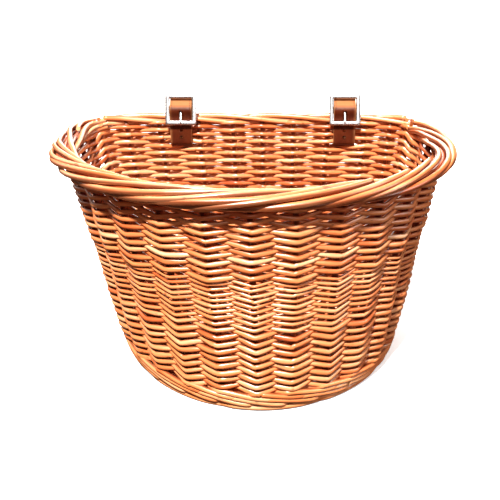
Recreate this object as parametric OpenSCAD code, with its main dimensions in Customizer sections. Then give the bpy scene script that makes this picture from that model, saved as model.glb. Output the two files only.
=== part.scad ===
// Wicker handlebar basket: a D-shaped willow body with a rolled border, hung from a
// handlebar by two leather straps with centre-bar buckles.
// Millimetres, +Z up. The curved front faces -Y and the handlebar side faces +Y.
// The origin is on the floor, under the middle of the whole object's box.

/* [Basket] */
// Width of the basket across the border
rim_w = 358; // [340:2:380]
// From the middle of the rim's widest line to the front of the border
rim_front = 169; // [160:1:180]
// From the widest line to the middle of the flat back wall, at the top
rim_back = 83; // [75:0.5:90]
// Height of the back border's top above the floor
rim_h = 206; // [204:0.5:208]
// How much lower the rolled border's top is
rim_drop = 3.5; // [0:0.5:5]
// Width of the woven wall at the floor, measured on its middle surface
base_w = 252; // [240:1:270]
// How far the base's widest line is set back from the rim's
base_setback = 26; // [20:1:32]
// From the base's widest line to the front wall, at the floor
base_front = 153; // [140:0.5:160]
// From the base's widest line to the back wall, at the floor
base_back = 42.5; // [35:0.5:50]
// Sideways lean of the hand-woven body, base against rim
base_lean = 7; // [0:0.5:8]
// Thickness of the woven wall over its bulges
wall_t = 11; // [9:0.5:12]

/* [Willow] */
// Diameter of a side stake
stake_d = 5.5; // [4.5:0.1:6]
// Diameter of a corner post
post_d = 8; // [7:0.2:9]
// Angle between neighbouring stakes round the front
stake_step = 13.2; // [12.8:0.1:13.4]
// Diameter of a border rod
rod_d = 4.6; // [4:0.1:4.8]
// Width of the rolled border
border_w = 24; // [22:0.5:26]
// Height of the rolled border
border_h = 16; // [15:0.5:18]
// Height at which the thin weave changes to the thick weave
band_z = 126; // [110:1:150]

/* [Straps] */
// Centre of the left strap from the middle of the rim
left_x = -70; // [-74:1:-66]
// Centre of the right strap from the middle of the rim
right_x = 89; // [85:1:93]
// Width of a strap
strap_w = 21; // [18:0.5:21]
// Thickness of the leather
strap_t = 1.8; // [1.6:0.1:1.8]
// Diameter of the handlebar space inside the strap
bar_d = 25.5; // [25:0.1:25.8]
// Outer size of the square buckle
buckle_size = 29.5; // [29:0.1:31]
// Width of the frame round the buckle's window
buckle_side = 3.5; // [3.2:0.1:3.6]
// Backward lean of the buckle
buckle_lean = 17.5; // [15:0.5:20]

/* [Hidden] */
$fn = 48;

willow = "sandybrown";
willow_dark = "peru";
leather = "sienna";
nickel = "gainsboro";

// Heights of the parts of the wall
foot_h = 8;
wale_top = 17;
weave_gap = 0.3;
wall_ref_z = 200;
side_top = rim_h - rim_drop - border_h - 0.6;
back_top = rim_h - 11.8;

// Plan of the wall: a soft ellipse in front and a squared one behind
front_e = 1.93;
back_e = 6;
border_in = border_w / 2;

// Handlebar space: its middle is measured from the rim's widest line
bar_r = bar_d / 2;
bar_back = 102;
bar_z = 190;
// The leather's loop is drawn a little tight and then bored out to the bar's size
loop_trim = 0.05;
loop_r = bar_r - loop_trim + strap_t / 2;
loop_back = bar_back + loop_r + strap_t / 2;
centre_y = (rim_front - loop_back) / 2;

function mix(a, b, t) = a + (b - a) * t;
function signed_pow(v, n) = sign(v) * pow(abs(v), n);
function half_w(z) = mix(base_w / 2, rim_w / 2 - border_in - 3.5, z / wall_ref_z);
function front_d(z) = mix(base_front, rim_front - border_in - 3.5, z / wall_ref_z);
function back_d(z) = mix(base_back, rim_back, z / wall_ref_z);
function lean_x(z) = mix(base_lean, 0, z / wall_ref_z);
function mid_y(z) = centre_y + mix(base_setback, 0, z / wall_ref_z);

// A point of the wall: phi is 0 at the front, 90 at the right and 180 at the back;
// off moves it outwards from the wall's middle surface
function plan(phi, z, off = 0) =
    let (c = cos(phi), n = 2 / (c >= 0 ? front_e : back_e),
         depth = (c >= 0 ? front_d(z) : back_d(z)) + off)
    [lean_x(z) + (half_w(z) + off) * signed_pow(sin(phi), n),
     mid_y(z) - depth * signed_pow(c, n)];
function on_wall(phi, z) = let (p = plan(phi, z)) [p.x, p.y, z];
function outline(z, off) = [for (k = [0:95]) plan(k * 3.75, z, off)];
// Angle at which the back wall has a given x at the rim
function back_phi(x) = 180 - asin(signed_pow(x / half_w(wall_ref_z), back_e / 2));

// Stakes: an even spacing round the front, gaps for the straps at the back
front_phis = [for (k = [-7:7]) k * stake_step - 1];
back_phis = [for (x = [-125, -93, -54, -20, 9, 40, 74, 111, 135]) back_phi(x)];
post_phi = 127.5;

// ---------- shared shapes ----------

module rod(p, q, r, sides = $fn) {
    d = q - p;
    translate(p) rotate([0, acos(d.z / norm(d)), atan2(d.y, d.x)])
        cylinder(r = r, h = norm(d), $fn = sides);
}

module stake(phi, r, z0, z1) rod(on_wall(phi, z0), on_wall(phi, z1), r);

// Twelve-sided channels that the stakes fill in the weave, run on past both ends
module channel(phi, r, z0, z1) {
    p = on_wall(phi, z0);
    q = on_wall(phi, z1);
    lap = (q - p) / norm(q - p) * 3;
    rod(p - lap, q + lap, r / cos(15), 12);
}
module stake_channels(z0, z1) {
    for (phi = concat(front_phis, back_phis)) channel(phi, stake_d / 2 + 0.05, z0, z1);
    for (side = [-1, 1]) channel(side * post_phi, post_d / 2 + 0.05, z0, z1);
}

// One closed band of weave; its top edge steps up to back_z along the back wall
module band(z0, z1, back_z) {
    n = 96;
    tops = [for (k = [0:n - 1]) mix(z1, back_z, max(0, min(1, (abs(180 - k * 3.75) - 66) / -10)))];
    ring = function (off, top) [for (k = [0:n - 1])
        let (z = top ? tops[k] : z0, p = plan(k * 3.75, z, off)) [p.x, p.y, z]];
    points = concat(ring(wall_t / 2, false), ring(wall_t / 2, true),
        ring(-wall_t / 2, true), ring(-wall_t / 2, false));
    faces = [for (layer = [0:3], k = [0:n - 1])
        let (a = layer * n, b = ((layer + 1) % 4) * n, m = (k + 1) % n)
        [a + k, b + k, b + m, a + m]];
    split = [for (f = faces) each [[f[0], f[1], f[2]], [f[0], f[2], f[3]]]];
    polyhedron(points, split);
}

module woven_band(z0, z1, back_z) difference() {
    band(z0, z1, back_z);
    stake_channels(z0, back_z);
}

// A closed tube along a list of points
module tube(path, r, sides = 8) {
    last = len(path) - 1;
    ring = function (i) let (t = path[min(last, i + 1)] - path[max(0, i - 1)],
            u = cross(t, [0, 0, 1]) / norm(cross(t, [0, 0, 1])), v = cross(u, t) / norm(t))
        [for (k = [0:sides - 1]) path[i] + r * (cos(k * 360 / sides) * u + sin(k * 360 / sides) * v)];
    skin = [for (i = [0:last - 1], k = [0:sides - 1])
        let (a = i * sides + k, b = i * sides + (k + 1) % sides)
        each [[a, a + sides, b + sides], [a, b + sides, b]]];
    ends = [for (k = [1:sides - 2]) each
        [[0, k, k + 1], [last * sides, last * sides + k + 1, last * sides + k]]];
    polyhedron([for (i = [0:last]) each ring(i)], concat(skin, ends));
}

// ---------- base ----------

module foot_border() color(willow) linear_extrude(foot_h) difference() {
    polygon(outline(foot_h / 2, wall_t / 2));
    polygon(outline(foot_h / 2, -wall_t / 2));
}

stick_d = 5;
stick_z = 5;
stick_pitch = 28;

module base_outline() polygon(outline(foot_h / 2, -wall_t / 2 - weave_gap));
module sticks(r) for (k = [-4:4]) translate([base_lean + k * stick_pitch, centre_y, stick_z])
    rotate([90, 0, 0]) cylinder(r = r, h = 2 * base_front, center = true);

module base_sticks() color(willow_dark) intersection() {
    sticks(stick_d / 2);
    linear_extrude(foot_h) base_outline();
}

module base_weave() color(willow) difference() {
    translate([0, 0, 1]) linear_extrude(foot_h - 1) base_outline();
    sticks(stick_d / 2 + 0.05);
}

module bottom_wale() color(willow) woven_band(foot_h + weave_gap, wale_top, wale_top);

// ---------- walls ----------

module lower_weave() color(willow) woven_band(wale_top + weave_gap, band_z, band_z);

strap_slot_w = strap_w + 5;
strap_slot_h = 3.8;
module upper_weave() color(willow) difference() {
    woven_band(band_z + weave_gap, side_top, back_top);
    for (x = [left_x, right_x])
        translate([x - strap_slot_w / 2, centre_y + 54, bar_z - loop_r - strap_slot_h / 2])
            cube([strap_slot_w, 50, strap_slot_h]);
}

module stake_group(phis, top) color(willow_dark)
    for (phi = phis) stake(phi, stake_d / 2, foot_h + weave_gap, top);
module front_stakes() stake_group([for (k = [4:10]) front_phis[k]], side_top);
module left_stakes() stake_group([for (k = [0:3]) front_phis[k]], side_top);
module right_stakes() stake_group([for (k = [11:14]) front_phis[k]], side_top);
module back_stakes() stake_group(back_phis, back_top);

module corner_post(side) color(willow_dark)
    stake(side * post_phi, post_d / 2, foot_h + weave_gap, rim_h - 2);
module left_corner_post() corner_post(-1);
module right_corner_post() corner_post(1);

// ---------- border ----------

// Table of arc length against angle along the rim, from the left post to the right one
rim_end = 116;
rim_phis = [for (phi = [-rim_end:0.5:rim_end]) phi];
rim_steps = [for (i = [1:len(rim_phis) - 1])
    norm(plan(rim_phis[i], wall_ref_z) - plan(rim_phis[i - 1], wall_ref_z))];
rim_table = [for (i = 0, s = 0; i < len(rim_phis); s = s + (i < len(rim_steps) ? rim_steps[i] : 0),
    i = i + 1) [s, rim_phis[i]]];
rim_length = rim_table[len(rim_table) - 1][0];

// Each border rod starts outside below, rolls over the top and goes down inside
rod_count = 21;
rods_abreast = 7;
rod_pitch = rim_length / (rod_count - rods_abreast + 1);
roll_start = -115;
roll_end = 225;
border_z = rim_h - rim_drop - border_h / 2;

function border_point(s, turn) =
    let (phi = lookup(s, rim_table), p = plan(phi, wall_ref_z),
         t = plan(phi + 0.3, wall_ref_z) - plan(phi - 0.3, wall_ref_z),
         out = [t.y, -t.x] / norm(t),
         narrow = min(1, 0.72 + 0.28 * min(s, rim_length - s) / 40),
         reach = 3.5 + (border_w / 2 - rod_d / 2) * narrow * cos(turn) - 3.5 * (1 - narrow) / 0.28)
    [p.x + out.x * reach, p.y + out.y * reach,
     border_z + (border_h / 2 - rod_d / 2) * sin(turn)];

function border_path(j) =
    let (first = (j - rods_abreast + 1) * rod_pitch, last = first + rods_abreast * rod_pitch * 0.98,
         s0 = max(0, first), s1 = min(rim_length, last), steps = max(3, round((s1 - s0) / 14)))
    [for (i = [0:steps]) let (s = mix(s0, s1, i / steps))
        border_point(s, mix(roll_start, roll_end, (s - first) / (last - first)))];

module border_rods(first, last) color(willow)
    for (j = [first:last]) tube(border_path(j), rod_d / 2);
module left_border_rods() border_rods(0, 7);
module front_border_rods() border_rods(8, 12);
module right_border_rods() border_rods(13, 20);

// The back border is three rods laid up like a rope
back_rod_r = 2.6;
back_rope_r = back_rod_r / sin(60) + 0.2;
back_half = 143;
back_rope_z = rim_h - back_rope_r - back_rod_r + 0.1;
module back_border_rods() color(willow) for (strand = [0:2])
    tube([for (i = [0:28]) let (x = mix(-back_half, back_half, i / 28), turn = 120 * strand + i * 20)
        [x, plan(back_phi(x), wall_ref_z).y + back_rope_r * cos(turn),
         back_rope_z + back_rope_r * sin(turn)]], back_rod_r, 6);

// ---------- straps ----------

// Buckle frame: its middle, its upward direction and its outward direction in the YZ plane
buckle_y = centre_y + 74.1;
buckle_z = 211;
pin_r = 1.4;
pin_drop = 2.4;
pin_y = buckle_y + pin_drop * cos(buckle_lean);
pin_z = buckle_z - pin_drop * sin(buckle_lean);
pin_play = 0.06;
layer_gap = 0.2;

// Radii of the leather's middle line round the buckle's bar and over the border
fold_r = pin_r + pin_play + strap_t / 2;
over_r = fold_r + strap_t + layer_gap;
rise = 40;
rise_run = 7;
arch_r = 8;
fold_close = 18;
fold_run = 8.5;

// Arch and handlebar loop are joined by their common tangent
arch_y = pin_y + (fold_r - arch_r) * cos(rise + 90) + rise_run * cos(rise);
arch_z = pin_z + (fold_r - arch_r) * sin(rise + 90) + rise_run * sin(rise);
loop_dy = centre_y + bar_back - arch_y;
loop_dz = bar_z - arch_z;
loop_gap = norm([loop_dy, loop_dz]);
tangent_turn = atan2(loop_dz, loop_dy) + acos((arch_r - loop_r) / loop_gap) - 90;
tangent_run = sqrt(loop_gap * loop_gap - pow(loop_r - arch_r, 2));

// Inside the basket the strap climbs to the buckle and steps out over the bar
inner_back = 73.4;
inner_y = centre_y + inner_back;
corner_r = 3;
step_h = 8;
step_turn = 2 * atan((inner_y - (pin_y - over_r)) / step_h);
step_r = step_h / 2 / sin(step_turn);
climb = pin_z - step_h - (bar_z - loop_r + corner_r);

// One strap as a run of [length, 0] for a straight and [radius, angle] for a bend
strap_moves = [
    [fold_run, 0],
    [fold_r, -180 - fold_close],
    [rise_run, 0],
    [arch_r, tangent_turn - rise],
    [tangent_run, 0],
    [loop_r, -180 - tangent_turn],
    [bar_back - inner_back - corner_r, 0],
    [corner_r, -90],
    [climb, 0],
    [step_r, step_turn],
    [step_r, -step_turn],
    [over_r, rise - 90],
    [rise_run, 0],
    [arch_r + strap_t + layer_gap, -55]];

// Middle line of the leather: each entry is [y, z, heading] along the moves
bend_step = 6;
function moved(at, size, turn) = let (side = sign(turn) * size)
    turn == 0 ? [at.x + size * cos(at[2]), at.y + size * sin(at[2]), at[2]]
    : [at.x + side * (sin(at[2] + turn) - sin(at[2])),
       at.y - side * (cos(at[2] + turn) - cos(at[2])), at[2] + turn];
function strap_line(moves, at, i = 0) = i == len(moves) ? [] :
    let (size = moves[i][0], turn = moves[i][1], n = max(1, ceil(abs(turn) / bend_step)))
    concat([for (k = [1:n]) turn == 0 ? moved(at, size, 0) : moved(at, size, turn * k / n)],
        strap_line(moves, moved(at, size, turn), i + 1));
function shifted(line, off) = [for (p = line) [p.x - off * sin(p[2]), p.y + off * cos(p[2])]];
function reversed(list) = [for (i = [len(list) - 1:-1:0]) list[i]];

fold_heading = rise + 180 + fold_close;
fold_y = pin_y + fold_r * sin(fold_heading - 180) + fold_run * cos(fold_heading - 180);
fold_z = pin_z - fold_r * cos(fold_heading - 180) + fold_run * sin(fold_heading - 180);

prong_r = 1.15;
prong_eye_w = 3.4;
hole_w = 3.2;
hole_low = 201.6;
hole_high = 211.4;
spare_hole_z = [191, 184];

module strap_profile() {
    start = [fold_y, fold_z, fold_heading];
    line = concat([start], strap_line(strap_moves, start));
    polygon(concat(shifted(line, strap_t / 2), reversed(shifted(line, -strap_t / 2))));
}

module strap(x) color(leather) difference() {
    translate([x - strap_w / 2, 0, 0]) rotate([90, 0, 90]) linear_extrude(strap_w) strap_profile();
    // round wall of the handlebar loop
    translate([x, centre_y + bar_back, bar_z]) rotate([0, 90, 0])
        cylinder(r = bar_r, h = strap_w + 2, center = true);
    // slot for the prong's eye in the fold
    translate([x, pin_y, pin_z]) rotate([0, 90, 0])
        cylinder(r = fold_r + strap_t / 2 + layer_gap / 2, h = prong_eye_w + 1, center = true);
    // long hole for the prong, and the spare holes below it
    for (z = concat([hole_low, hole_high], spare_hole_z))
        translate([x, pin_y - 1, z]) rotate([90, 0, 0]) cylinder(d = hole_w, h = 10);
    translate([x - hole_w / 2, pin_y - 11, hole_low]) cube([hole_w, 10, hole_high - hole_low]);
}

// Waxed thread that closes the fold behind the buckle's bar
stitch_r = 0.45;
stitch_run = 6.6;
stitch_low = -1.6;
stitch_xs = [-8, -5, 5, 8];
module thread(x) color("tan") for (dx = stitch_xs)
    translate([x + dx, pin_y, pin_z]) rotate([rise, 0, 0])
        translate([0, stitch_run, stitch_low])
            cylinder(r = stitch_r, h = fold_r + strap_t / 2 - stitch_low);

// Moves from the buckle's own frame, Z along its side and -Y out of its face, to the rim
module at_buckle(x) translate([x, buckle_y, buckle_z]) rotate([-buckle_lean, 0, 0]) children();

buckle_t = 2.4;
buckle_corner = 1.6;
module rounded_square(size, r) {
    for (a = [-1, 1], b = [-1, 1]) translate([a * (size / 2 - r), b * (size / 2 - r)]) circle(r);
    square([size - 2 * r, size], center = true);
    square([size, size - 2 * r], center = true);
}

lug_w = 2.4;
notch_depth = 0.7;
// The prong's line in the buckle's frame: from beside the bar to the notch
prong_from = [0, 1.2, -2];
prong_to = [0, -buckle_t / 2 - prong_r - 0.1 + notch_depth, -13];

module buckle(x) color(nickel) at_buckle(x) difference() {
    union() {
        rotate([90, 0, 0]) linear_extrude(buckle_t, center = true) difference() {
            rounded_square(buckle_size, buckle_corner);
            square(buckle_size - 2 * buckle_side, center = true);
        }
        for (side = [-1, 1]) translate([side * (buckle_size / 2 - buckle_side + 0.3 + lug_w / 2), 1.9, 0])
            cube([lug_w, pin_drop + 1.4, 4], center = true);
        translate([0, pin_drop, 0]) rotate([0, 90, 0])
            cylinder(r = pin_r, h = buckle_size - 2 * buckle_side + 2, center = true);
    }
    rod(prong_from, prong_to + (prong_to - prong_from) * 0.4, prong_r + 0.1);
}

module prong(x) color(nickel) at_buckle(x) difference() {
    union() {
        translate([0, pin_drop, 0]) rotate([0, 90, 0]) cylinder(r = 2.9, h = prong_eye_w, center = true);
        rod(prong_from, prong_to, prong_r);
        translate(prong_to) sphere(r = prong_r);
    }
    translate([0, pin_drop, 0]) rotate([0, 90, 0])
        cylinder(r = pin_r + pin_play, h = prong_eye_w + 2, center = true);
}

module left_strap() strap(left_x);
module right_strap() strap(right_x);
module left_thread() thread(left_x);
module right_thread() thread(right_x);
module left_buckle() buckle(left_x);
module right_buckle() buckle(right_x);
module left_prong() prong(left_x);
module right_prong() prong(right_x);

foot_border();
base_sticks();
base_weave();
bottom_wale();
lower_weave();
upper_weave();
front_stakes();
left_stakes();
right_stakes();
back_stakes();
left_corner_post();
right_corner_post();
left_border_rods();
front_border_rods();
right_border_rods();
back_border_rods();
left_strap();
left_thread();
left_buckle();
left_prong();
right_strap();
right_thread();
right_buckle();
right_prong();
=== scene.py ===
# Looks of the wicker handlebar basket: every rod of the weave, border and foot, the leather
# straps, the thread and the nickel buckles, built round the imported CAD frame.
# Shapes are worked out in millimetres in the frame's own axes and scaled when meshes are made.
import math

import bpy
import numpy as np
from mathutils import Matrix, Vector


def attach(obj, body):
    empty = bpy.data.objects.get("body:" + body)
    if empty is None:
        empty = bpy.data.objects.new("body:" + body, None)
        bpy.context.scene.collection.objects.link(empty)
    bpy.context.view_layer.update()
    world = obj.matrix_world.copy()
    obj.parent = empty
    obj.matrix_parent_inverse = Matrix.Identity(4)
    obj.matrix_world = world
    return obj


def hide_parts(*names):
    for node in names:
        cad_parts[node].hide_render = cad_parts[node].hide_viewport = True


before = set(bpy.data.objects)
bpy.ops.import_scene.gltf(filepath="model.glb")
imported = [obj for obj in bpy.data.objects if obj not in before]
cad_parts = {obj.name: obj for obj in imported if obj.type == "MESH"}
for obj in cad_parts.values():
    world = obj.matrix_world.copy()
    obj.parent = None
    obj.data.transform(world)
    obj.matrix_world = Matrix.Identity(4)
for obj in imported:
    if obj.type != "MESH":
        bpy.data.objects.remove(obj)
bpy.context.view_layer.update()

MM = 0.001
TAU = 2 * math.pi
rng = np.random.default_rng(11)

# ---------- the wall's plan, as in the CAD ----------

CENTRE_Y = 26.25
REF_Z = 200.0
BASE_HALF_W, RIM_HALF_W = 126, 163.5
BASE_FRONT, RIM_FRONT = 153, 153.5
BASE_BACK, RIM_BACK = 42.5, 83
BASE_SETBACK = 26
BASE_LEAN = 7.0
FRONT_E = 1.93
BACK_E = 6.0
STAKE_R = 2.75
POST_R = 4.0
POST_PHI = 127.5

# The lowest stretch of the wall draws in a little towards the foot
TUCK, TUCK_HEIGHT = 3.5, 45


def mix(a, b, t):
    return a + (b - a) * t


def signed_pow(v, n):
    return np.sign(v) * np.abs(v) ** n


def half_w(z):
    return mix(BASE_HALF_W, RIM_HALF_W, z / REF_Z)


def wall(phi, z):
    """The wall's middle surface. phi in degrees: 0 in front, 90 at the right, 180 at the back."""
    phi, z = np.broadcast_arrays(np.asarray(phi, float), np.asarray(z, float))
    t = z / REF_Z
    c, s = np.cos(np.radians(phi)), np.sin(np.radians(phi))
    front = c >= 0
    n = np.where(front, 2 / FRONT_E, 2 / BACK_E)
    depth = np.where(front, mix(BASE_FRONT, RIM_FRONT, t), mix(BASE_BACK, RIM_BACK, t))
    tuck = TUCK * np.clip(1 - z / TUCK_HEIGHT, 0, 1) ** 2
    x = mix(BASE_LEAN, 0, t) + (half_w(z) - tuck) * signed_pow(s, n)
    y = CENTRE_Y + mix(BASE_SETBACK, 0, t) - (depth - tuck) * signed_pow(c, n)
    return np.stack([x, y, z], -1)


def back_phi(x):
    return 180 - math.degrees(math.asin(signed_pow(x / half_w(REF_Z), BACK_E / 2)))


def turn_table():
    """Angles round the wall, close together where the squared back turns fast."""
    w = np.linspace(0, 1, 300)
    g = w ** 3 / (w ** 3 + (1 - w) ** 3)
    return np.concatenate([-180 + 90 * g, np.linspace(-90, 90, 500)[1:-1], 90 + 90 * g])


PHI_TABLE = turn_table()


class Ring:
    """The wall's outline at one height, measured by arc length from the middle of the back."""

    def __init__(self, z):
        self.xy = wall(PHI_TABLE, z)[:, :2]
        steps = np.linalg.norm(np.diff(self.xy, axis=0), axis=1)
        self.s = np.concatenate([[0], np.cumsum(steps)])
        self.length = self.s[-1]

    def phi(self, s):
        return np.interp(np.mod(s, self.length), self.s, PHI_TABLE)

    def at_phi(self, phi):
        return np.interp(phi, PHI_TABLE, self.s)

    def out(self, s):
        """Unit vector out of the wall, level."""
        reach = 1.5
        a, b = [np.stack([np.interp(np.mod(s + d, self.length), self.s, self.xy[:, k])
                          for k in (0, 1)], -1) for d in (-reach, reach)]
        t = b - a
        t /= np.linalg.norm(t, axis=1, keepdims=True)
        return np.stack([t[:, 1], -t[:, 0], np.zeros(len(t))], -1)


front_phis = [13.2 * k - 1 for k in range(-7, 8)]
back_phis = [back_phi(x) for x in (-125, -93, -54, -20, 9, 40, 74, 111, 135)]
stake_list = [(p, STAKE_R) for p in front_phis]
stake_list += [(p - 360 if p > 180 else p, STAKE_R) for p in back_phis]
stake_list += [(-POST_PHI, POST_R), (POST_PHI, POST_R)]
stake_list.sort()
STAKES = np.array([p for p, r in stake_list])
STAKE_RADII = np.array([r for p, r in stake_list])

# ---------- mesh builders ----------


def make_mesh(name, verts, faces, flat=()):
    """A mesh object from points in millimetres; the faces whose numbers are in flat stay flat."""
    mesh = bpy.data.meshes.new(name)
    mesh.from_pydata((np.asarray(verts) * MM).tolist(), [], faces)
    smooth = np.ones(len(faces), bool)
    smooth[list(flat)] = False
    mesh.polygons.foreach_set("use_smooth", smooth)
    mesh.update()
    obj = bpy.data.objects.new(name, mesh)
    bpy.context.scene.collection.objects.link(obj)
    return obj


def add_value(obj, name, values):
    attribute = obj.data.attributes.new(name, "FLOAT", "POINT")
    attribute.data.foreach_set("value", np.asarray(values, np.float32))


def add_vector(obj, name, values):
    attribute = obj.data.attributes.new(name, "FLOAT_VECTOR", "POINT")
    attribute.data.foreach_set("vector", np.asarray(values, np.float32).ravel())


class Rods:
    """Many rods in one mesh, with a tone per rod and coordinates that follow its grain."""

    def __init__(self, sides=8, creased="level"):
        """creased says where neighbours touch and get painted shade: "level" above and below, "beside"
        at both sides.
        """
        angle = np.arange(sides) * TAU / sides
        self.cos, self.sin, self.sides = np.cos(angle), np.sin(angle), sides
        # Painted shade: the crease_shade mask darkens the rods where neighbours touch.
        touching = np.abs(self.sin if creased == "level" else self.cos)
        self.touching = np.clip((touching - 0.62) / 0.38, 0, 1)
        self.verts, self.faces, self.flat = [], [], []
        self.tone, self.grain, self.cut, self.crease_shade = [], [], [], []
        self.count = 0

    def add(self, path, width, height=None, tone=0.5, ref=(0, 0, 1)):
        """width and height are half thicknesses, sideways and along ref."""
        path = np.asarray(path, float)
        n, k = len(path), self.sides
        width = np.broadcast_to(width, n).astype(float)
        height = width if height is None else np.broadcast_to(height, n).astype(float)
        tangent = np.gradient(path, axis=0)
        tangent /= np.linalg.norm(tangent, axis=1, keepdims=True)
        side = np.cross(tangent, np.asarray(ref, float))
        side /= np.linalg.norm(side, axis=1, keepdims=True)
        up = np.cross(side, tangent)
        a = width[:, None, None] * self.cos[None, :, None] * side[:, None, :]
        b = height[:, None, None] * self.sin[None, :, None] * up[:, None, :]
        ring = (path[:, None, :] + a + b).reshape(-1, 3)
        steps = np.linalg.norm(np.diff(path, axis=0), axis=1)
        along = np.concatenate([[0], np.cumsum(steps)]) + rng.uniform(0, 4000)
        grain = np.stack([np.outer(width, self.cos), np.outer(height, self.sin),
                          np.repeat(along[:, None], k, 1)], -1).reshape(-1, 3)
        rows = ring.reshape(n, k, 3)
        caps = [mix(path[end], rows[end], 0.88) for end in (0, -1)]
        base = self.count
        i = np.arange(n - 1)[:, None] * k
        j = np.arange(k)[None, :]
        m = (j + 1) % k
        quads = np.stack([i + j, i + m, i + k + m, i + k + j], -1).reshape(-1, 4) + base
        self.faces += quads.tolist()
        self.verts += [ring, caps[0], caps[1], path[:1], path[-1:]]
        self.grain += [grain, grain[:k], grain[-k:], [[0, 0, along[0]]], [[0, 0, along[-1]]]]
        extra = 2 * k + 2
        self.tone += [np.full(n * k + extra, tone)]
        self.cut.append(np.append(np.zeros(n * k), np.ones(extra)))
        self.crease_shade.append(np.append(np.tile(self.touching, n), np.zeros(extra)))
        cap = base + n * k
        for q in range(k):
            r = (q + 1) % k
            end = base + (n - 1) * k
            self.flat += range(len(self.faces), len(self.faces) + 4)
            self.faces += [[base + q, cap + q, cap + r, base + r],
                           [end + q, end + r, cap + k + r, cap + k + q],
                           [cap + q, cap + 2 * k, cap + r],
                           [cap + k + q, cap + k + r, cap + 2 * k + 1]]
        self.count += n * k + extra

    def build(self, name):
        obj = make_mesh(name, np.concatenate(self.verts), self.faces, self.flat)
        add_value(obj, "tone", np.concatenate(self.tone))
        add_value(obj, "cut", np.concatenate(self.cut))
        add_value(obj, "crease_shade", np.concatenate(self.crease_shade))
        add_vector(obj, "grain", np.concatenate(self.grain) * 0.1)
        return obj


def waves(count, size):
    """A smooth random function of the angle round the wall, in degrees."""
    parts = [(rng.integers(1, 14), rng.uniform(0, TAU), rng.normal(0, size / count ** 0.5))
             for _ in range(count)]
    return lambda phi: sum(a * np.sin(np.radians(phi) * f + p) for f, p, a in parts)


# ---------- materials ----------


class Graph:
    """Short calls for building one material's nodes."""

    def __init__(self, name):
        self.material = bpy.data.materials.new(name)
        self.material.use_nodes = True
        self.tree = self.material.node_tree
        self.shader = self.tree.nodes["Principled BSDF"]

    def node(self, kind, **values):
        node = self.tree.nodes.new(kind)
        for key, value in values.items():
            setattr(node, key, value)
        return node

    def link(self, source, target):
        self.tree.links.new(source, target)

    def attribute(self, name):
        return self.node("ShaderNodeAttribute", attribute_name=name)

    def scaled(self, vector, scale):
        node = self.node("ShaderNodeVectorMath", operation="MULTIPLY")
        self.link(vector, node.inputs[0])
        node.inputs[1].default_value = scale
        return node.outputs[0]

    def noise(self, vector, scale, detail=2.0, roughness=0.5):
        node = self.node("ShaderNodeTexNoise")
        self.link(vector, node.inputs["Vector"])
        node.inputs["Scale"].default_value = scale
        node.inputs["Detail"].default_value = detail
        node.inputs["Roughness"].default_value = roughness
        return node.outputs["Fac"]

    def ramp(self, value, stops):
        node = self.node("ShaderNodeValToRGB")
        self.link(value, node.inputs["Fac"])
        ramp = node.color_ramp
        while len(ramp.elements) < len(stops):
            ramp.elements.new(0.5)
        for element, (at, colour) in zip(ramp.elements, stops):
            element.position = at
            element.color = (*colour, 1) if len(colour) == 3 else colour
        return node.outputs["Color"]

    def mix(self, kind, factor, a, b):
        """Mixes two colours; factor is a number or a socket, b a colour or a socket."""
        node = self.node("ShaderNodeMix", data_type="RGBA", blend_type=kind)
        for socket, value in ((node.inputs[0], factor), (node.inputs[6], a), (node.inputs[7], b)):
            if hasattr(value, "is_linked"):
                self.link(value, socket)
            else:
                socket.default_value = value if isinstance(value, float) else (*value, 1)
        return node.outputs[2]

    def maths(self, operation, a, b=None):
        node = self.node("ShaderNodeMath", operation=operation)
        for socket, value in zip(node.inputs, (a, b)):
            if hasattr(value, "is_linked"):
                self.link(value, socket)
            elif value is not None:
                socket.default_value = value
        return node.outputs[0]

    def bump(self, height, strength, distance):
        node = self.node("ShaderNodeBump")
        node.inputs["Strength"].default_value = strength
        node.inputs["Distance"].default_value = distance
        self.link(height, node.inputs["Height"])
        self.link(node.outputs["Normal"], self.shader.inputs["Normal"])


def willow_material(name, stops):
    g = Graph(name)
    tone = g.attribute("tone").outputs["Fac"]
    grain = g.attribute("grain").outputs["Vector"]
    blotch = g.noise(g.scaled(grain, (1.2, 1.2, 0.25)), 1.0, 3.0)
    streak = g.noise(g.scaled(grain, (9, 9, 0.35)), 1.0, 3.0, 0.6)
    knots = g.noise(g.scaled(grain, (2.2, 2.2, 1.4)), 1.0, 1.0)
    shade = g.maths("ADD", tone, g.maths("MULTIPLY", g.maths("SUBTRACT", blotch, 0.5), 0.9))
    colour = g.ramp(shade, stops)
    streaks = g.ramp(streak, [(0.3, (0.74, 0.62, 0.52)), (0.62, (1.0, 1.0, 1.0))])
    colour = g.mix("MULTIPLY", 0.55, colour, streaks)
    marks = g.ramp(knots, [(0.7, (0, 0, 0)), (0.78, (1, 1, 1))])
    colour = g.mix("MIX", g.maths("MULTIPLY", marks, 0.6), colour, (0.23, 0.07, 0.02))
    # Painted shade where rods touch: crease_shade mixes in a dark red-brown.
    crease_shade = g.maths("MULTIPLY", g.attribute("crease_shade").outputs["Fac"], 0.85)
    colour = g.mix("MIX", crease_shade, colour, (0.12, 0.012, 0.002))
    pith = g.maths("MULTIPLY", g.attribute("cut").outputs["Fac"], 0.85)
    colour = g.mix("MIX", pith, colour, (0.92, 0.62, 0.34))
    g.link(colour, g.shader.inputs["Base Color"])
    rough = g.maths("ADD", g.maths("MULTIPLY", streak, 0.25), 0.2)
    g.link(rough, g.shader.inputs["Roughness"])
    g.shader.inputs["Specular IOR Level"].default_value = 0.9
    g.bump(g.maths("ADD", streak, g.maths("MULTIPLY", knots, 0.6)), 0.35, 0.0004)
    return g.material


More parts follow.
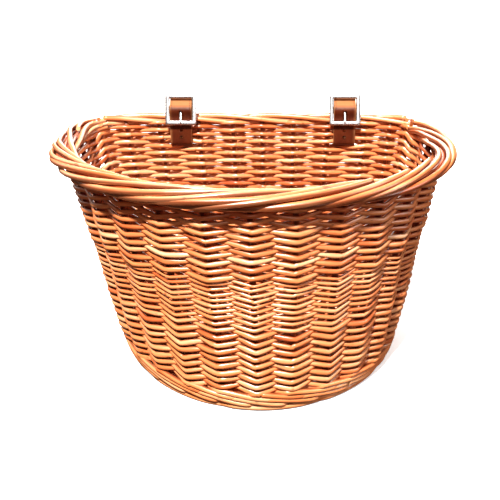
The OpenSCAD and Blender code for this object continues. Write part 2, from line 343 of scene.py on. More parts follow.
WILLOW = willow_material("willow_varnished", [
    (0.0, (0.42, 0.070, 0.020)), (0.3, (0.70, 0.192, 0.063)),
    (0.6, (0.86, 0.318, 0.123)), (1.0, (0.99, 0.59, 0.335))])
# Painted shade: the stakes' willow is a darker copy of the rods' willow, standing in for the shadow the
# rods throw on the stakes.
STAKE_WILLOW_PAINTED_SHADE = willow_material("willow_stakes_painted_shade", [
    (0.0, (0.18, 0.022, 0.005)), (0.4, (0.32, 0.055, 0.014)),
    (0.7, (0.46, 0.115, 0.032)), (1.0, (0.62, 0.21, 0.07))])


def leather_material():
    g = Graph("leather_tan")
    place = g.node("ShaderNodeTexCoord").outputs["Object"]
    patches = g.noise(place, 60, 3.0)
    pores = g.node("ShaderNodeTexVoronoi", feature="DISTANCE_TO_EDGE")
    g.link(place, pores.inputs["Vector"])
    # Painted light: the top of the strap, where it arches over the buckle, is made lighter.
    pores.inputs["Scale"].default_value = 1500
    fine = g.noise(place, 900, 4.0)
    # The dark base colour is partly the leather's own brown and partly painted shade for the strap
    # below the buckle.
    colour = g.ramp(patches, [(0.3, (0.080, 0.014, 0.004)), (0.7, (0.130, 0.028, 0.008))])
    speckle = g.ramp(fine, [(0.35, (0.75, 0.72, 0.7)), (0.65, (1.0, 1.0, 1.0))])
    colour = g.mix("MULTIPLY", 0.6, colour, speckle)
    raw = g.attribute("edge").outputs["Fac"]
    colour = g.mix("MIX", raw, colour, (0.55, 0.27, 0.12))
    # Painted light on the strap's top, from the painted_top_light mask.
    top_light_mask = g.attribute("painted_top_light").outputs["Fac"]
    colour = g.mix("MIX", top_light_mask, colour, (0.50, 0.19, 0.068))
    g.link(colour, g.shader.inputs["Base Color"])
    rough = g.maths("ADD", g.maths("MULTIPLY", fine, 0.25), 0.3)
    g.link(rough, g.shader.inputs["Roughness"])
    g.shader.inputs["Specular IOR Level"].default_value = 0.28
    creases = g.maths("ADD", g.maths("MULTIPLY", pores.outputs["Distance"], 4.0), fine)
    g.bump(creases, 0.3, 0.0002)
    return g.material


def nickel_material():
    g = Graph("nickel_plated")
    place = g.node("ShaderNodeTexCoord").outputs["Object"]
    cloud = g.noise(place, 220, 4.0)
    scratch = g.noise(g.scaled(place, (900, 5000, 900)), 1.0, 2.0)
    colour = g.ramp(cloud, [(0.3, (0.62, 0.63, 0.65)), (0.7, (0.76, 0.77, 0.79))])
    g.link(colour, g.shader.inputs["Base Color"])
    g.shader.inputs["Metallic"].default_value = 1.0
    rough = g.maths("ADD", g.maths("MULTIPLY", scratch, 0.14), 0.2)
    g.link(rough, g.shader.inputs["Roughness"])
    g.bump(cloud, 0.08, 0.0003)
    return g.material


def thread_material():
    g = Graph("thread_waxed")
    place = g.node("ShaderNodeTexCoord").outputs["Object"]
    twist = g.noise(place, 2500, 2.0)
    colour = g.ramp(twist, [(0.3, (0.07, 0.025, 0.010)), (0.7, (0.16, 0.06, 0.025))])
    g.link(colour, g.shader.inputs["Base Color"])
    g.shader.inputs["Roughness"].default_value = 0.6
    g.bump(twist, 0.5, 0.0002)
    return g.material


LEATHER = leather_material()
NICKEL = nickel_material()
THREAD = thread_material()


def piece(obj, body, material, slot, *nodes):
    obj.data.materials.append(material)
    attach(obj, body)
    if nodes:
        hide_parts(*nodes)
    return obj


# ---------- weave ----------

STRAP_XS = (-70.0, 89.0)
STRAP_SLOT_Z = 176.35
BAND_Z = 126.0
LOW_Z = 80.0
WALE_TOP = 17.0
SIDE_TOP = 185.9
BACK_TOP = 197.0

# How far rods rise inside a stake in front, and how far they swing up and down on the back wall
DIP_INSIDE = 1.75
DIP_BACK = 1.3

# Angles round the wall: where the back's own weave starts, where its rows start to climb to the
# higher back border, how wide both changes are, and the reach of the corners' fuller rods
BACK_FROM, CLIMB_FROM, BLEND_SPAN = 112, 114, 10
CORNER_PHI, CORNER_SPAN = 114, 22

# How much higher the rows end at the back than at the sides
CLIMB = BACK_TOP - SIDE_TOP - 2.5

# Steps along one gap between stakes, close together at the stakes, where a rod bends most
STEPS = np.array([0, .035, .07, .12, .18, .26, .35, .44, .5,
                  .56, .65, .74, .82, .88, .93, .965])
BEND = 0.075


def swing(u):
    """1 beside the stake that a rod passes outside, -1 beside the next: straight runs, tight turns."""
    near = np.minimum(u, 1 - u)
    edge = math.sqrt(0.25 + BEND ** 2) - BEND
    value = 1 - (np.sqrt(near ** 2 + BEND ** 2) - BEND) / edge
    return np.where(u <= 0.5, value, -value)


def strap_room(p):
    """Moves rods up or down out of the way of a strap that passes through the back wall."""
    dz = p[:, 2] - STRAP_SLOT_Z
    for x in STRAP_XS:
        near = np.clip((17 - np.abs(p[:, 0] - x)) / 5, 0, 1) * (p[:, 1] > CENTRE_Y + 54)
        p[:, 2] += near * np.where(dz >= 0, 1, -1) * 1.1 * np.exp(-(dz / 4) ** 2)
    return p


def weave_row(rods, z0, parity, thick, pitch, dips, wobble):
    """One level row: rods that pass outside and inside the stakes in turn, joined behind a stake."""
    ring = Ring(z0)
    starts = ring.at_phi(STAKES)
    gaps = np.diff(np.append(starts, starts[0] + ring.length))
    sign = np.where((np.arange(len(STAKES)) + parity) % 2 == 0, 1, -1)
    s = (starts[:, None] + STEPS * gaps[:, None]).ravel()
    drift = rng.normal(0, 0.045, (len(STAKES), 1)) * np.sin(math.pi * STEPS)
    f = (sign[:, None] * swing(STEPS + drift)).ravel()
    post = mix(STAKE_RADII[:, None], np.roll(STAKE_RADII, -1)[:, None], STEPS).ravel()
    phi = ring.phi(s)
    lift = np.clip((np.abs(phi) - CLIMB_FROM) / BLEND_SPAN, 0, 1) * CLIMB
    back = np.clip((np.abs(phi) - BACK_FROM) / BLEND_SPAN, 0, 1)
    thick = thick * (1 + 0.13 * back)
    z = z0 + lift * max(0, z0 - BAND_Z) / (SIDE_TOP - BAND_Z) + wobble(phi)
    jitter = np.repeat(rng.normal(0, 0.28, len(STAKES)), len(STEPS))
    down = mix(dips[:, None], np.roll(dips, -1)[:, None], STEPS).ravel()
    z = z - mix(np.where(f > 0, down, DIP_INSIDE), DIP_BACK, back) * f + jitter * np.abs(f)
    at = wall(phi, z)
    out = ring.out(s)
    body = np.abs(f)
    deep = thick * (0.96 + 0.04 * body)
    corner = np.clip(1 - np.abs(np.abs(phi) - CORNER_PHI) / CORNER_SPAN, 0, 1)
    fullness = np.interp(body, (0, 0.3, 0.7, 1), (0, 1.2, 1.34, 1.16)) * mix(1, 0.9, back)
    fullness = fullness * (1 + 0.22 * corner)
    tall = np.maximum(thick * fullness, pitch * 0.6)
    p = at + out * (f * (post + deep))[:, None]
    inside = np.flatnonzero(sign < 0)
    cuts = np.sort(rng.choice(inside, 2, replace=False)) * len(STEPS)
    order = np.arange(len(s))
    size = rng.normal(1, 0.05)
    for a, b in ((cuts[0], cuts[1]), (cuts[1], cuts[0] + len(s))):
        pick = order[np.arange(a - 2, b + 1) % len(s)]
        taper = np.linspace(1.05, 0.93, len(pick)) * size
        rods.add(strap_room(p[pick].copy()), deep[pick] * taper, tall[pick] * taper,
                 tone=float(np.clip(rng.normal(0.56, 0.13), 0.05, 1)))
        size = rng.normal(1, 0.05)


def stake_dips(dip, uneven):
    """How far rods sink where they pass outside each stake: deep and shallow in turn in front."""
    turn = np.where(np.arange(len(STAKES)) % 2 == 0, 1, -1)
    middle = int(np.argmin(np.abs(STAKES)))
    return dip * (1 + uneven * turn * turn[middle] + rng.normal(0, 0.12, len(STAKES)))


def weave_band(name, low, high, first_row, rows, thick, dip, uneven, node):
    """Rows packed between two heights, counted on from first_row so that they keep alternating.

    thick is the rods' half thickness at the band's lower and upper end.
    """
    rods = Rods(8)
    share = np.linspace(thick[0], thick[1], rows)
    edges = low + (high - low) * np.concatenate([[0], np.cumsum(share)]) / share.sum()
    wobble = waves(8, 0.5)
    dips = stake_dips(dip, uneven)
    for k in range(rows):
        pitch = edges[k + 1] - edges[k]
        own = waves(4, 0.16)
        weave_row(rods, (edges[k] + edges[k + 1]) / 2, first_row + k, share[k], pitch, dips,
                  lambda phi: wobble(phi) + own(phi))
    return piece(rods.build(name), "basket", WILLOW, "willow", *node)


LOW_ROWS, FINE_ROWS, HIGH_ROWS = 17, 18, 19
weave_band("weave_low", WALE_TOP + 3, LOW_Z, 0, LOW_ROWS, (2.05, 2.1), 2.6, 0.25,
           ["lower_weave"])
weave_band("weave_fine", LOW_Z, BAND_Z, LOW_ROWS, FINE_ROWS, (1.62, 1.2), 2.1, 0.3, [])
weave_band("weave_high", BAND_Z, SIDE_TOP + 3, LOW_ROWS + FINE_ROWS, HIGH_ROWS, (1.95, 1.85),
           2.3, 0.0, ["upper_weave"])

# ---------- stakes and posts ----------


def stake_rods(name, phis, radius, top, tones, nodes):
    rods = Rods(10)
    for phi in phis:
        z = np.linspace(6, top, 24)
        path = wall(phi, z)
        path[:, :2] += np.cumsum(rng.normal(0, 0.05, (24, 2)), axis=0)
        rods.add(path, radius * rng.normal(1, 0.03), tone=float(rng.uniform(*tones)), ref=(0, 1, 0.1))
    return piece(rods.build(name), "basket", STAKE_WILLOW_PAINTED_SHADE, "stakes", *nodes)


stake_rods("side_stakes", front_phis, STAKE_R, SIDE_TOP + 4, (0.2, 0.6),
           ["front_stakes", "left_stakes", "right_stakes"])
stake_rods("back_stake_rods", back_phis, STAKE_R, BACK_TOP + 3, (1.0, 1.3), ["back_stakes"])
stake_rods("corner_post_left", [-POST_PHI], POST_R, 203.5, (0.8, 1.0), ["left_corner_post"])
stake_rods("corner_post_right", [POST_PHI], POST_R, 203.5, (0.8, 1.0), ["right_corner_post"])

# ---------- border ----------

RIM_LEFT, RIM_RIGHT = -137, 121
ROD_COUNT = 24
ABREAST = 8
BORDER_W = 24.0
BORDER_H = 16.0
BORDER_Z = 194.5
RIM_PHI = np.arange(RIM_LEFT, RIM_RIGHT + 0.1, 0.25)
RIM_XY = wall(RIM_PHI, REF_Z)[:, :2]
RIM_S = np.concatenate([[0], np.cumsum(np.linalg.norm(np.diff(RIM_XY, axis=0), axis=1))])
RIM_LENGTH = RIM_S[-1]
ROD_PITCH = RIM_LENGTH / (ROD_COUNT - ABREAST + 1)


def border_points(s, turn, radius, inset=0.0):
    """Points on the rolled border: s along the rim, turn round it in degrees, 0 outside."""
    s = np.asarray(s, float)
    x, y = [np.interp(s, RIM_S, RIM_XY[:, k]) for k in (0, 1)]
    ahead, behind = [np.stack([np.interp(s + d, RIM_S, RIM_XY[:, k]) for k in (0, 1)], -1)
                     for d in (2, -2)]
    t = ahead - behind
    t /= np.linalg.norm(t, axis=1, keepdims=True)
    out = np.stack([t[:, 1], -t[:, 0]], -1)
    narrow = np.minimum(1, 0.72 + 0.28 * np.minimum(s, RIM_LENGTH - s) / 40)
    wide, high = BORDER_W / 2 - radius - inset, BORDER_H / 2 - radius - inset
    a = np.radians(turn)
    reach = 3.5 + wide * narrow * np.cos(a) - 3.5 * (1 - narrow) / 0.28
    return np.stack([x + out[:, 0] * reach, y + out[:, 1] * reach,
                     BORDER_Z + high * np.sin(a)], -1)


# Where round the rim a rod was cut off on top, in degrees
CUT_ENDS = (-97, 29, 47, 66)


def border():
    rods = Rods(12, "beside")
    cuts = [np.interp(phi, RIM_PHI, RIM_S) for phi in CUT_ENDS]
    for j in range(ROD_COUNT):
        first = (j - ABREAST + 1) * ROD_PITCH
        span = ABREAST * ROD_PITCH * 0.98
        stop = first + 0.66 * span
        short = min(abs(stop - cut) for cut in cuts) < ROD_PITCH / 2
        s0, s1 = max(0, first), min(RIM_LENGTH, stop if short else first + span)
        s = np.linspace(s0, s1, 60)
        u = (s - first) / span
        radius = rng.uniform(2.1, 2.75)
        turn = mix(-118, 228, u) + rng.normal(0, 6) + 8 * np.sin(u * 9 + rng.uniform(0, TAU))
        size = radius * (1.08 - 0.2 * u)
        path = border_points(s, turn, 2.2)
        path[:, 2] += 0.5 * np.sin(s / 19 + rng.uniform(0, TAU)) + (1.0 * u * u if short else 0)
        rods.add(path, size, tone=float(np.clip(rng.normal(0.66, 0.15), 0.2, 1)))
    # Five inner rods of the roll, given a low tone: painted shade inside the border roll.
    for k in range(5):
        s = np.linspace(2, RIM_LENGTH - 2, 160)
        turn = k * 72 + s / RIM_LENGTH * 700
        rods.add(border_points(s, turn, 2.0, 5.2), 1.9, tone=float(rng.uniform(0.0, 0.2)))
    return piece(rods.build("rolled_border"), "basket", WILLOW, "willow",
                 "left_border_rods", "front_border_rods", "right_border_rods")


border()

BACK_ROD_R = 2.6
BACK_ROPE_R = BACK_ROD_R / math.sin(math.radians(60)) + 0.2
BACK_ROPE_Z = 206 - BACK_ROPE_R - BACK_ROD_R + 0.1


def back_border():
    rods = Rods(12)
    for strand in range(3):
        x = np.linspace(-146 + strand, 152 - 2 * strand, 90)
        turn = np.radians(120 * strand + (x + 143) * 1.96 + 4 * np.sin(x / 31))
        y = np.array([wall(back_phi(v), REF_Z)[1] for v in x])
        path = np.stack([x, y + BACK_ROPE_R * np.cos(turn),
                         BACK_ROPE_Z + BACK_ROPE_R * np.sin(turn)], -1)
        rods.add(path, np.linspace(2.7, 2.4, 90), tone=float(rng.uniform(0.5, 0.8)))
    return piece(rods.build("back_border"), "basket", WILLOW, "willow", "back_border_rods")


back_border()

# ---------- foot, wale and base ----------


def foot():
    """Thick rods laid round the floor edge, each one sliding in over the end of the one before."""
    rods = Rods(14)
    ring = Ring(4)
    count = 9
    for k in range(count):
        start = ring.length * k / count
        s = start + np.linspace(-0.25, 1.12, 44) * ring.length / count
        u = np.linspace(0, 1, 44)
        shift = mix(-3.4, 2.6, np.clip(u / 0.35, 0, 1))
        shift = shift - np.clip((u - 0.85) / 0.15, 0, 1) * 1.2
        radius = 3.5 - 0.6 * u
        z = 3.6 - 0.7 * np.clip((u - 0.3) / 0.7, 0, 1)
        path = wall(ring.phi(s), z) + ring.out(s) * shift[:, None]
        rods.add(path, radius, radius * 0.98, tone=float(rng.uniform(0.4, 0.8)))
    return piece(rods.build("foot_rods"), "basket", WILLOW, "willow", "foot_border")


foot()


def wale():
    """Two rounds of three rods, each passing outside two stakes and inside one."""
    rods = Rods(10)
    for level, z0 in enumerate((10.0, 16.0)):
        ring = Ring(z0)
        starts = ring.at_phi(STAKES)
        gaps = np.diff(np.append(starts, starts[0] + ring.length))
        s = (starts[:, None] + STEPS * gaps[:, None]).ravel()
        place = (np.arange(len(STAKES))[:, None] + STEPS).ravel()
        for strand in range(3):
            turn = (place + strand + level * 0.4) * TAU / 3
            off = np.clip(np.cos(turn) * 2.0 + 0.9, -1, 1) * 4.6
            z = z0 - 2.7 * np.sin(turn)
            p = wall(ring.phi(s), z) + ring.out(s) * off[:, None]
            p = np.roll(p, rng.integers(0, len(s)), axis=0)
            rods.add(p, 2.2, 2.4, tone=float(rng.uniform(0.4, 0.85)))
    return piece(rods.build("wale_rods"), "basket", WILLOW, "willow", "bottom_wale")


wale()


def base():
    sticks = Rods(10)
    stick_xs = [28.0 * k for k in range(-4, 5)]

    def reach(x):
        """Front and back y of the base inside the wall at x."""
        sine = np.clip(abs(x - BASE_LEAN) / half_w(0), 0, 1)
        ends = []
        for e, flip in ((FRONT_E, False), (BACK_E, True)):
            phi = math.degrees(math.asin(sine ** (e / 2)))
            ends.append(float(wall(180 - phi if flip else phi, 0)[1]))
        return ends

    for x in stick_xs:
        front, back = reach(x + BASE_LEAN)
        y = np.linspace(front + 6, back - 6, 20)
        path = np.stack([np.full(20, x + BASE_LEAN), y, np.full(20, 5.0)], -1)
        sticks.add(path, 2.3, tone=float(rng.uniform(0.3, 0.6)))
    piece(sticks.build("base_stick_rods"), "basket", STAKE_WILLOW_PAINTED_SHADE, "stakes", "base_sticks")
    rods = Rods(8)
    edge = Ring(5)
    pitch = 3.9
    ys = np.arange(edge.xy[:, 1].min() + 4.5, edge.xy[:, 1].max() - 3, pitch)
    for k, y0 in enumerate(ys):
        inside = edge.xy[np.abs(edge.xy[:, 1] - y0) < 3]
        if len(inside) < 2:
            continue
        x0, x1 = inside[:, 0].min() + 1.5, inside[:, 0].max() - 1.5
        x = np.linspace(x0, x1, max(8, int((x1 - x0) / 3)))
        weave = np.cos((x - BASE_LEAN) / 28 * math.pi) * (1 if k % 2 else -1)
        path = np.stack([x, y0 + 0.2 * np.sin(x / 17 + k), 5.0 + 2.1 * weave], -1)
        rods.add(path, 2.05, 1.6, tone=float(rng.uniform(0.35, 0.75)))
    return piece(rods.build("base_weave_rods"), "basket", WILLOW, "willow", "base_weave")


base()

# ---------- straps, buckles and prongs ----------

STRAP_W, STRAP_T = 21.0, 1.8
BAR_R = 12.75
BAR_BACK, BAR_Z = 102.0, 190.0
LOOP_R = BAR_R - 0.05 + STRAP_T / 2
BUCKLE_Y, BUCKLE_Z = CENTRE_Y + 74.1, 211.0
BUCKLE_LEAN = math.radians(17.5)
BUCKLE_SIZE, BUCKLE_SIDE, BUCKLE_T = 29.9, 4.2, 2.6
PIN_R, PIN_DROP = 1.4, 2.4
PIN_Y = BUCKLE_Y + PIN_DROP * math.cos(BUCKLE_LEAN)
PIN_Z = BUCKLE_Z - PIN_DROP * math.sin(BUCKLE_LEAN)
LAYER_GAP = 0.2
FOLD_R = PIN_R + 0.06 + STRAP_T / 2
OVER_R = FOLD_R + STRAP_T + LAYER_GAP
RISE, RISE_RUN, ARCH_R = math.radians(40), 7.0, 8.0
FOLD_CLOSE, FOLD_RUN = math.radians(18), 8.5
INNER_BACK = 73.4
CORNER_R, STEP_H = 3.0, 8.0


def strap_moves():
    quarter = math.pi / 2
    arch_y = PIN_Y + (FOLD_R - ARCH_R) * math.cos(RISE + quarter) + RISE_RUN * math.cos(RISE)
    arch_z = PIN_Z + (FOLD_R - ARCH_R) * math.sin(RISE + quarter) + RISE_RUN * math.sin(RISE)
    dy, dz = CENTRE_Y + BAR_BACK - arch_y, BAR_Z - arch_z
    gap = math.hypot(dy, dz)
    tangent = math.atan2(dz, dy) + math.acos((ARCH_R - LOOP_R) / gap) - quarter
    run = math.sqrt(gap * gap - (LOOP_R - ARCH_R) ** 2)
    step = 2 * math.atan((CENTRE_Y + INNER_BACK - (PIN_Y - OVER_R)) / STEP_H)
    step_r = STEP_H / 2 / math.sin(step)
    climb = PIN_Z - STEP_H - (BAR_Z - LOOP_R + CORNER_R)
    return [(FOLD_RUN, 0), (FOLD_R, -math.pi - FOLD_CLOSE), (RISE_RUN, 0),
            (ARCH_R, tangent - RISE), (run, 0), (LOOP_R, -math.pi - tangent),
            (BAR_BACK - INNER_BACK - CORNER_R, 0), (CORNER_R, -quarter), (climb, 0),
            (step_r, step), (step_r, -step), (OVER_R, RISE - quarter), (RISE_RUN, 0),
            (ARCH_R + STRAP_T + LAYER_GAP, -math.radians(55))]


def strap_line():
    """The leather's middle line: y, z and heading, every few degrees or millimetres."""
    heading = RISE + math.pi + FOLD_CLOSE
    y = PIN_Y + FOLD_R * math.sin(heading - math.pi) + FOLD_RUN * math.cos(heading - math.pi)
    z = PIN_Z - FOLD_R * math.cos(heading - math.pi) + FOLD_RUN * math.sin(heading - math.pi)
    line = [(y, z, heading)]
    for size, turn in strap_moves():
        parts = max(2, math.ceil(size / 2.5)) if turn == 0 else max(3, math.ceil(abs(turn) / 0.12))
        for k in range(parts):
            if turn == 0:
                y += size / parts * math.cos(heading)
                z += size / parts * math.sin(heading)
            else:
                side = math.copysign(size, turn)
                after = heading + turn / parts
                y += side * (math.sin(after) - math.sin(heading))
                z -= side * (math.cos(after) - math.cos(heading))
                heading = after
            line.append((y, z, heading))
    return np.array(line)


def strap_section():
    """Outline of the leather across its width: square-cut with softened corners."""
    half_t, half, r = STRAP_T / 2, STRAP_W / 2, 0.45
    points = []
    corners = ((half, half_t, 0), (-half, half_t, 90), (-half, -half_t, 180), (half, -half_t, 270))
    for cx, cn, start in corners:
        for k in range(4):
            a = math.radians(start + 30 * k)
            points.append((cx - math.copysign(r, cx) + r * math.cos(a),
                           cn - math.copysign(r, cn) + r * math.sin(a)))
        if start in (0, 180):
            to = -1 if start == 0 else 1
            for k in range(1, 9):
                points.append((-to * (half - r) * (1 - 2 * k / 9), cn))
    return np.array(points)


def cutter(verts, faces):
    mesh = bpy.data.meshes.new("cutter")
    mesh.from_pydata((np.asarray(verts) * MM).tolist(), [], faces)
    obj = bpy.data.objects.new("cutter", mesh)
    bpy.context.scene.collection.objects.link(obj)
    return obj


def prism(outline, axis_from, axis_to):
    """A closed prism: the outline's (x, z) points, run from one y to another."""
    n = len(outline)
    verts = [(x, axis_from, z) for x, z in outline] + [(x, axis_to, z) for x, z in outline]
    faces = [list(range(n)), list(range(n, 2 * n))[::-1]]
    faces += [[k, n + k, n + (k + 1) % n, (k + 1) % n] for k in range(n)]
    return cutter(verts, faces)


def round_hole(x, z, w, h, y0, y1):
    """A hole with round ends, w wide and h high over all."""
    points = []
    for k in range(24):
        a = TAU * k / 24
        lift = (h - w) / 2 * (1 if math.sin(a) > 1e-6 else -1 if math.sin(a) < -1e-6 else 0)
        points.append((x + w / 2 * math.cos(a), z + lift + w / 2 * math.sin(a)))
    return prism(points, y0, y1)


def carve(obj, cutters):
    for tool in cutters:
        step = obj.modifiers.new("cut", "BOOLEAN")
        step.object = tool
        step.operation = "DIFFERENCE"
        step.solver = "EXACT"
    bpy.context.view_layer.update()
    shape = obj.evaluated_get(bpy.context.evaluated_depsgraph_get())
    mesh = bpy.data.meshes.new_from_object(shape)
    obj.modifiers.clear()
    obj.data = mesh
    for tool in cutters:
        bpy.data.objects.remove(tool)


LINE = strap_line()
SECTION = strap_section()


def strap(side, x0):
    n, k = len(LINE), len(SECTION)
    y, z, heading = LINE.T
    run = np.concatenate([[0], np.cumsum(np.hypot(np.diff(y), np.diff(z)))])
    verts = np.zeros((n, k, 3))
    sway = 0.25 * np.sin(run / 23 + x0)
    verts[:, :, 0] = x0 + SECTION[:, 0] + sway[:, None] * 0.4
    verts[:, :, 1] = y[:, None] - np.sin(heading)[:, None] * SECTION[:, 1]
    verts[:, :, 2] = z[:, None] + np.cos(heading)[:, None] * SECTION[:, 1]
    faces = [[i * k + j, (i + 1) * k + j, (i + 1) * k + (j + 1) % k, i * k + (j + 1) % k]
             for i in range(n - 1) for j in range(k)]
    faces += [list(range(k)), list(range((n - 1) * k, n * k))[::-1]]
    obj = make_mesh(side + "_strap_leather", verts.reshape(-1, 3), faces)
    tools = [round_hole(x0, zc, 3.4, 3.4, PIN_Y - 11, PIN_Y - 1) for zc in (191, 184)]
    tools.append(round_hole(x0, 205.3, 3.4, 11.0, PIN_Y - 11, PIN_Y - 0.2))
    carve(obj, tools)
    co = np.zeros(len(obj.data.vertices) * 3)
    obj.data.vertices.foreach_get("co", co)
    co = co.reshape(-1, 3) / MM
    add_value(obj, "edge", np.clip((np.abs(co[:, 0] - x0) - 10.0) / 0.4, 0, 1) * 0.8)
    add_value(obj, "painted_top_light", np.clip((co[:, 2] - 212.5) / 3, 0, 1) * 0.8)
    for polygon in obj.data.polygons:
        polygon.use_smooth = True
    obj.data.set_sharp_from_angle(angle=math.radians(38))
    return piece(obj, side + "_strap", LEATHER, "leather", side + "_strap")


def buckle_point(x0, u, v, w):
    """A point of the buckle's own frame: u across, v out of its face towards the back, w up."""
    c, s = math.cos(BUCKLE_LEAN), math.sin(BUCKLE_LEAN)
    return np.stack(np.broadcast_arrays(x0 + u, BUCKLE_Y + v * c + w * s, BUCKLE_Z - v * s + w * c), -1)


def buckle(side, x0):
    outer_r, inner_r, half = 1.9, 0.7, BUCKLE_SIZE / 2
    bevel, t = 0.75, BUCKLE_T / 2
    section = [(0.0, t - bevel), (0.18, t - 0.3), (bevel, t), (BUCKLE_SIDE - bevel, t),
               (BUCKLE_SIDE - 0.18, t - 0.3), (BUCKLE_SIDE, t - bevel),
               (BUCKLE_SIDE, bevel - t), (BUCKLE_SIDE - 0.3, -t + 0.1), (BUCKLE_SIDE - bevel, -t),
               (bevel, -t), (0.3, -t + 0.1), (0.0, bevel - t)]
    verts = []
    stations = 0
    for corner in range(4):
        for k in range(9):
            a = math.radians(90 * corner + 90 * k / 8)
            cx = 1 if corner in (0, 3) else -1
            cz = 1 if corner in (0, 1) else -1
            stations += 1
            for d, v in section:
                r = mix(outer_r, inner_r, d / BUCKLE_SIDE)
                middle = half - d - r
                verts.append(buckle_point(x0, cx * middle + r * math.cos(a), -v,
                                          cz * middle + r * math.sin(a)))
    m = len(section)
    faces = [[i * m + j, ((i + 1) % stations) * m + j,
              ((i + 1) % stations) * m + (j + 1) % m, i * m + (j + 1) % m]
             for i in range(stations) for j in range(m)]
    obj = make_mesh(side + "_buckle_frame", np.array(verts), faces)
    obj.data.set_sharp_from_angle(angle=math.radians(50))
    bar = Rods(20)
    ends = BUCKLE_SIZE / 2 - BUCKLE_SIDE + 1
    u = np.linspace(-ends, ends, 12)
    bar.add(buckle_point(x0, u, PIN_DROP, np.zeros(12)), PIN_R, ref=(0, 0, 1))
    for way in (-1, 1):
        lug = np.array([[way * (half - BUCKLE_SIDE + 1.2), v, 0] for v in (0.2, 1.6, 2.6, 3.6, 4.0)])
        sizes = np.array([1.5, 1.6, 1.9, 1.5, 0.7])
        bar.add(buckle_point(x0, lug[:, 0], lug[:, 1], lug[:, 2]), sizes * 0.75, sizes, ref=(0, 0, 1))
    bar_obj = bar.build(side + "_buckle_bar")
    piece(obj, side + "_buckle", NICKEL, "nickel", side + "_buckle")
    return piece(bar_obj, side + "_buckle", NICKEL, "nickel")


def prong(side, x0):
    """A bent rod: an eye round the bar, then out through the hole and down on to the frame."""
    rods = Rods(14)
    a = np.radians(np.linspace(-60, 240, 26))
    eye_v = PIN_DROP + 2.15 * np.cos(a)
    eye_w = 2.15 * np.sin(a)
    twist = np.linspace(-0.5, 0.5, 26)
    rods.add(buckle_point(x0, twist, eye_v, eye_w), 0.72, ref=(1, 0, 0.01))
    w = np.linspace(-0.4, -13.4, 24)
    v = mix(1.6, -BUCKLE_T / 2 - 0.55, ((w + 0.4) / -13) ** 0.8)
    size = np.interp(w, [-13.4, -13.0, -12.0, -0.4], [0.35, 0.85, 1.1, 1.15])
    rods.add(buckle_point(x0, np.zeros(24), v, w), size * 1.08, size * 0.95, ref=(1, 0, 0.01))
    return piece(rods.build(side + "_prong_rod"), side + "_prong", NICKEL, "nickel", side + "_prong")


def stitches(side, x0):
    """Short stitches across the fold, and a run of fine stitching along both edges of the tail."""
    rods = Rods(6)
    c, s = math.cos(RISE), math.sin(RISE)
    for dx in (-8, -5, 5, 8):
        for along in (5.6, 7.6):
            low = np.array([x0 + dx, PIN_Y, PIN_Z])
            top = FOLD_R + STRAP_T / 2
            pts = []
            for u, h in ((-0.9, -0.3), (-0.7, 0.2), (0.0, 0.3), (0.7, 0.2), (0.9, -0.3)):
                forward, lift = along + u, top + h
                pts.append(low + np.array([0, forward * c - lift * s, forward * s + lift * c]))
            rods.add(np.array(pts), 0.32, ref=(1, 0, 0.01))
    y, z, heading = LINE.T
    run = np.concatenate([[0], np.cumsum(np.hypot(np.diff(y), np.diff(z)))])
    for dx in (-8.7, 8.7):
        for start in np.arange(1.6, 19, 2.3):
            at = run[-1] - start + np.array([-0.75, -0.5, 0, 0.5, 0.75])
            turn = np.interp(at, run, heading)
            rise = STRAP_T / 2 + np.array([-0.35, 0.05, 0.1, 0.05, -0.35])
            pts = np.stack([np.full(5, x0 + dx), np.interp(at, run, y) - np.sin(turn) * rise,
                            np.interp(at, run, z) + np.cos(turn) * rise], -1)
            rods.add(pts, 0.3, ref=(1, 0, 0.01))
    return piece(rods.build(side + "_stitches"), side + "_strap", THREAD, "thread", side + "_thread")


for side, x0 in (("left", STRAP_XS[0]), ("right", STRAP_XS[1])):
    strap(side, x0)
    buckle(side, x0)
    prong(side, x0)
    stitches(side, x0)

# ---------- floor, light and camera ----------


def floor():
    far, level = 6000, -0.2
    corners = [(-far, -far, level), (far, -far, level), (far, far, level), (-far, far, level)]
    obj = make_mesh("floor", corners, [[0, 1, 2, 3]])
    g = Graph("floor_pale")
    g.shader.inputs["Base Color"].default_value = (0.9, 0.9, 0.9, 1)
    g.shader.inputs["Roughness"].default_value = 0.9
    g.shader.inputs["Emission Color"].default_value = (1, 1, 1, 1)
    g.shader.inputs["Emission Strength"].default_value = 0.42
    obj.data.materials.append(g.material)
    obj.visible_diffuse = False
    obj.visible_glossy = False


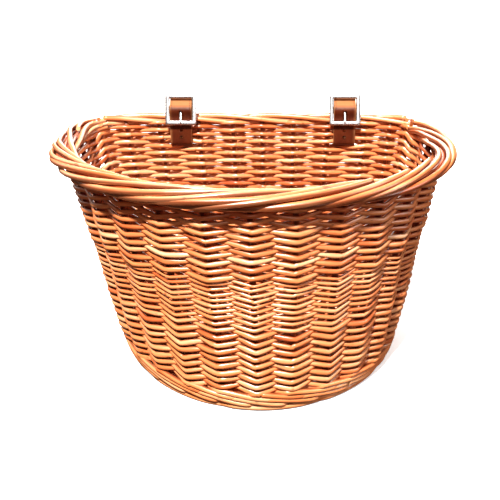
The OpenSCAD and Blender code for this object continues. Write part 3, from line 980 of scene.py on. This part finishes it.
def backdrop():
    """A plain white dome far round the floor, seen by the camera only."""
    turns, levels, far = 48, 12, 12000
    verts = [(far * math.cos(lift) * math.cos(turn), far * math.cos(lift) * math.sin(turn),
              far * math.sin(lift))
             for lift in np.radians(np.linspace(-15, 89, levels))
             for turn in np.arange(turns) * TAU / turns]
    faces = [[i * turns + j, i * turns + (j + 1) % turns,
              (i + 1) * turns + (j + 1) % turns, (i + 1) * turns + j]
             for i in range(levels - 1) for j in range(turns)]
    obj = make_mesh("backdrop", verts, faces)
    g = Graph("backdrop_pale")
    g.shader.inputs["Base Color"].default_value = (0, 0, 0, 1)
    g.shader.inputs["Roughness"].default_value = 1.0
    g.shader.inputs["Emission Color"].default_value = (1, 1, 1, 1)
    g.shader.inputs["Emission Strength"].default_value = 1.0
    obj.data.materials.append(g.material)
    obj.visible_diffuse = False
    obj.visible_glossy = False
    obj.visible_shadow = False


def aimed(data, azimuth, elevation, distance):
    """Puts a light at an angle round the basket; 0 is in front, 90 at the right."""
    obj = bpy.data.objects.new(data.name, data)
    a, e = math.radians(azimuth), math.radians(elevation)
    way = Vector((math.sin(a) * math.cos(e), -math.cos(a) * math.cos(e), math.sin(e)))
    obj.location = Vector((0, 0, 0.1)) + way * distance
    obj.rotation_euler = way.to_track_quat("Z", "Y").to_euler()
    bpy.context.scene.collection.objects.link(obj)
    return obj


def key_light():
    data = bpy.data.lights.new("key", "SUN")
    data.energy = 7.3
    data.angle = math.radians(3)
    data.color = (1.0, 0.98, 0.95)
    aimed(data, -16, 53, 3)


def soft_light(name, azimuth, elevation, size, power):
    data = bpy.data.lights.new(name, "AREA")
    data.shape = "DISK"
    data.size = size
    data.energy = power
    return aimed(data, azimuth, elevation, 2.4)


floor()
backdrop()
key_light()
soft_light("front_fill", 10, 30, 1.4, 4)
soft_light("right_fill", 80, 24, 1.4, 20)
soft_light("left_fill", -125, 22, 1.4, 8)
soft_light("back_fill", 178, 18, 1.8, 40)
soft_light("sheen", 0, 26, 0.9, 2.6).visible_diffuse = False


def studio_air():
    """A dim warm light from everywhere, and the bright, contrasty look of a catalogue picture."""
    world = bpy.data.worlds.new("studio")
    world.use_nodes = True
    background = world.node_tree.nodes["Background"]
    background.inputs["Color"].default_value = (1, 0.62, 0.42, 1)
    background.inputs["Strength"].default_value = 0.14
    bpy.context.scene.world = world
    bpy.context.scene.view_settings.view_transform = "Standard"
    bpy.context.scene.view_settings.look = "Medium High Contrast"


def camera():
    data = bpy.data.cameras.new("camera")
    data.lens = 61.2
    data.sensor_width = 36
    data.clip_start = 0.01
    data.clip_end = 50
    obj = bpy.data.objects.new("camera", data)
    obj.location = (0.0012, -0.7148, 0.386)
    obj.rotation_euler = (math.pi / 2 - 0.375, 0, 0.005)
    bpy.context.scene.collection.objects.link(obj)
    bpy.context.scene.camera = obj


studio_air()
camera()
